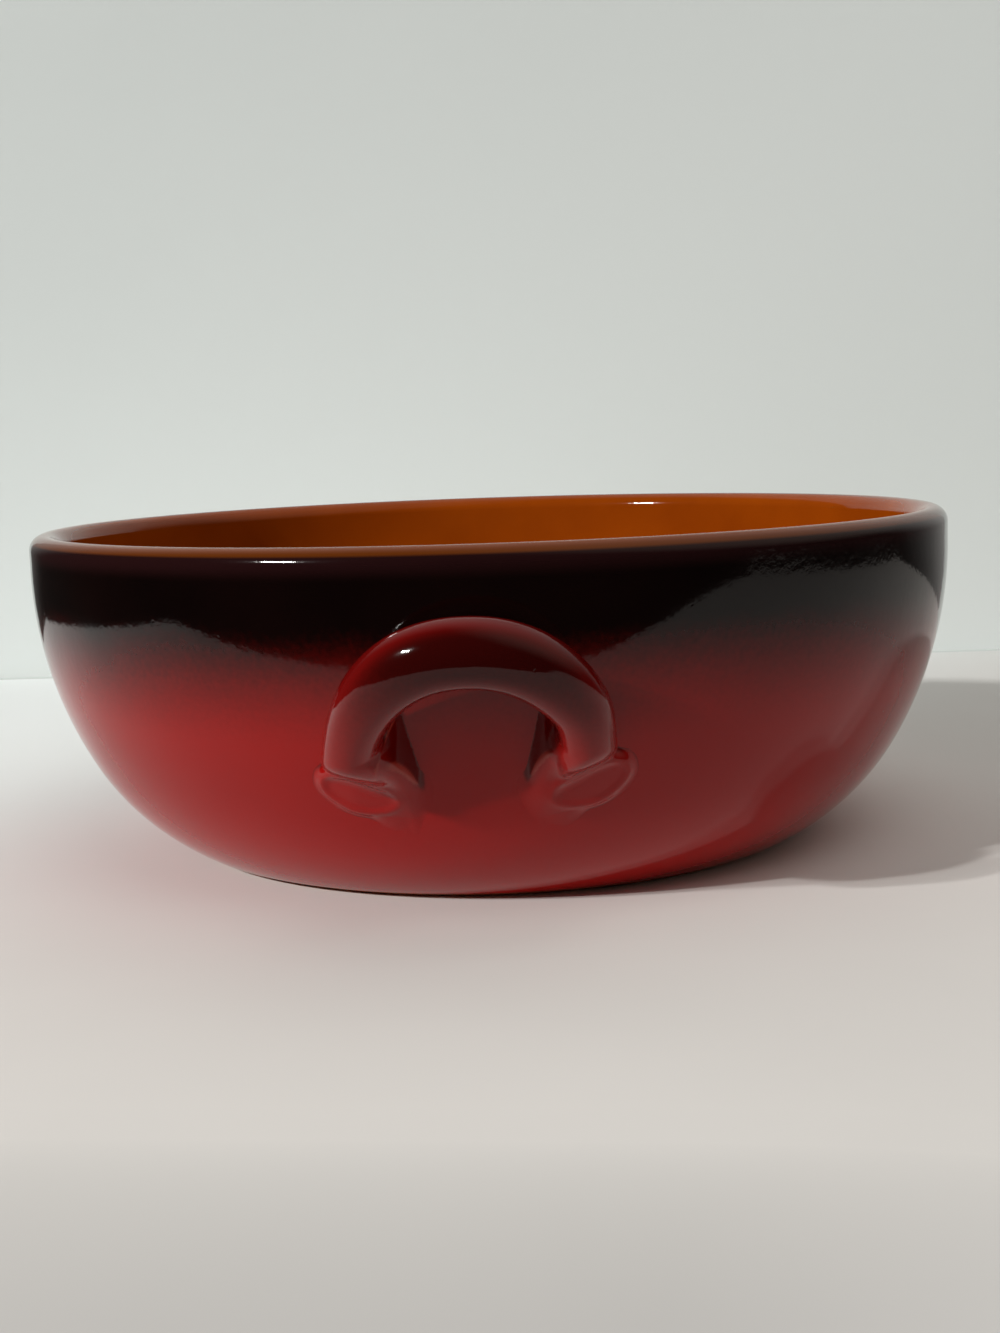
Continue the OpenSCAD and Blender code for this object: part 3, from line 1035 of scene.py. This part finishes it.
# Both papers carry painted light: the table is painted lighter towards the left and back, the wall
# lighter low down towards the middle.
sheet = new_object("pale_sheet", sheet_mesh())
sheet.data.materials.append(matt_paper(
    "matt_paper", "#D8D7D5", "#E0DFDD", "#F3F8F9", (-40, -150, 0), (-330, 150, 0)))
wall_behind = new_object("pale_wall", wall_behind_mesh())
wall_behind.data.materials.append(matt_paper(
    "matt_wall_paint", "#C6CCCB", "#CBD1D0", "#D9DFDE", (-270, 380, 330), (7, 380, 28)))

# The lamps: name, place in m, width and height in m, power in W, colour, and whether the glaze
# mirrors it. Two small keys side by side give a shadow with two edges, and the glow softens it.
LAMP_AIM = (0, 0, 0.05)
LAMPS = (
    ("key", (-1.98, -1.83, 1.35), 0.06, 0.06, 37, "#FFFDF9", True),
    ("key_beside", (-2.06, -1.6, 1.33), 0.06, 0.06, 34, "#FFFDF9", True),
    ("key_glow", (-2.02, -1.72, 1.34), 0.28, 0.2, 18, "#FFFDF9", True),
    ("fill", (0.4, -1.0, 1.8), 1.2, 1.2, 5.6, "#FFFDFB", False),
)


def soft_lamp(name, place, width, height, power, colour, mirrored):
    lamp = bpy.data.lights.new(name, "AREA")
    lamp.shape = "RECTANGLE"
    lamp.size = width
    lamp.size_y = height
    lamp.energy = power
    lamp.color = to_linear(colour)[:3]
    made = new_object(name, lamp)
    made.location = place
    made.rotation_euler = (Vector(LAMP_AIM) - Vector(place)).to_track_quat("-Z", "Y").to_euler()
    made.visible_glossy = mirrored


for lamp_row in LAMPS:
    soft_lamp(*lamp_row)

# The dim room, and the soft light in it: the way to its middle, the cosine where it starts, and
# its colour.
ROOM = "#2B2826"
ROOM_LIGHTS = (((0.62, -0.07, 0.78), 0.6, "#C6B9AC"), ((0.15, 0.75, 0.64), 0.4, "#D8D5D0"))


def soft_dome():
    """A dim room with soft light from high up on the right and from high up behind."""
    world = bpy.data.worlds.new("soft_dome")
    world.use_nodes = True
    tree = world.node_tree
    tree.nodes.clear()
    way = add(tree, "ShaderNodeTexCoord").outputs["Generated"]
    room = to_linear(ROOM)
    for aim, start, colour in ROOM_LIGHTS:
        towards = add(tree, "ShaderNodeVectorMath", {0: way, 1: aim}, operation="DOT_PRODUCT")
        much = add(tree, "ShaderNodeMapRange", {
            "Value": towards.outputs["Value"], "From Min": start, "From Max": 1.0},
            interpolation_type="SMOOTHSTEP")
        room = add(tree, "ShaderNodeMix", {
            SHARE: much.outputs["Result"], FIRST: room, SECOND: to_linear(colour)},
            data_type="RGBA").outputs[MIXED]
    light = add(tree, "ShaderNodeBackground", {"Color": room, "Strength": 1.0})
    add(tree, "ShaderNodeOutputWorld", {"Surface": light.outputs["Background"]})
    bpy.context.scene.world = world


soft_dome()

# The camera of the photograph: distance and height in mm, its angles, lens and sensor in mm, and
# the nearest and farthest that it sees in m.
CAMERA_AWAY = 566.2
CAMERA_Z = 126.3
CAMERA_ROUND = math.radians(2.2)
CAMERA_HEADING = math.radians(0.212)
CAMERA_DOWN = math.radians(7.687)
CAMERA_ROLL = math.radians(-1.942)
CAMERA_LENS = 48.61
CAMERA_SENSOR = 36
CAMERA_SEES = (0.01, 20)


def photo_camera():
    data = bpy.data.cameras.new("photo_view")
    data.lens = CAMERA_LENS
    data.sensor_width = CAMERA_SENSOR
    data.clip_start, data.clip_end = CAMERA_SEES
    heading = CAMERA_HEADING - CAMERA_ROUND
    level = Vector((math.sin(heading), math.cos(heading), 0))
    forward = level * math.cos(CAMERA_DOWN) - Vector((0, 0, math.sin(CAMERA_DOWN)))
    right = level.cross(Vector((0, 0, 1))).normalized()
    up = right.cross(forward)
    c, s = math.cos(CAMERA_ROLL), math.sin(CAMERA_ROLL)
    turned_right, turned_up = right * c + up * s, up * c - right * s
    away = CAMERA_AWAY * MM
    made = new_object("photo_view", data)
    made.matrix_world = Matrix((
        (turned_right.x, turned_up.x, -forward.x, away * math.sin(CAMERA_ROUND)),
        (turned_right.y, turned_up.y, -forward.y, -away * math.cos(CAMERA_ROUND)),
        (turned_right.z, turned_up.z, -forward.z, CAMERA_Z * MM),
        (0, 0, 0, 1),
    ))
    bpy.context.scene.camera = made


photo_camera()
bpy.context.scene.view_settings.view_transform = "Standard"
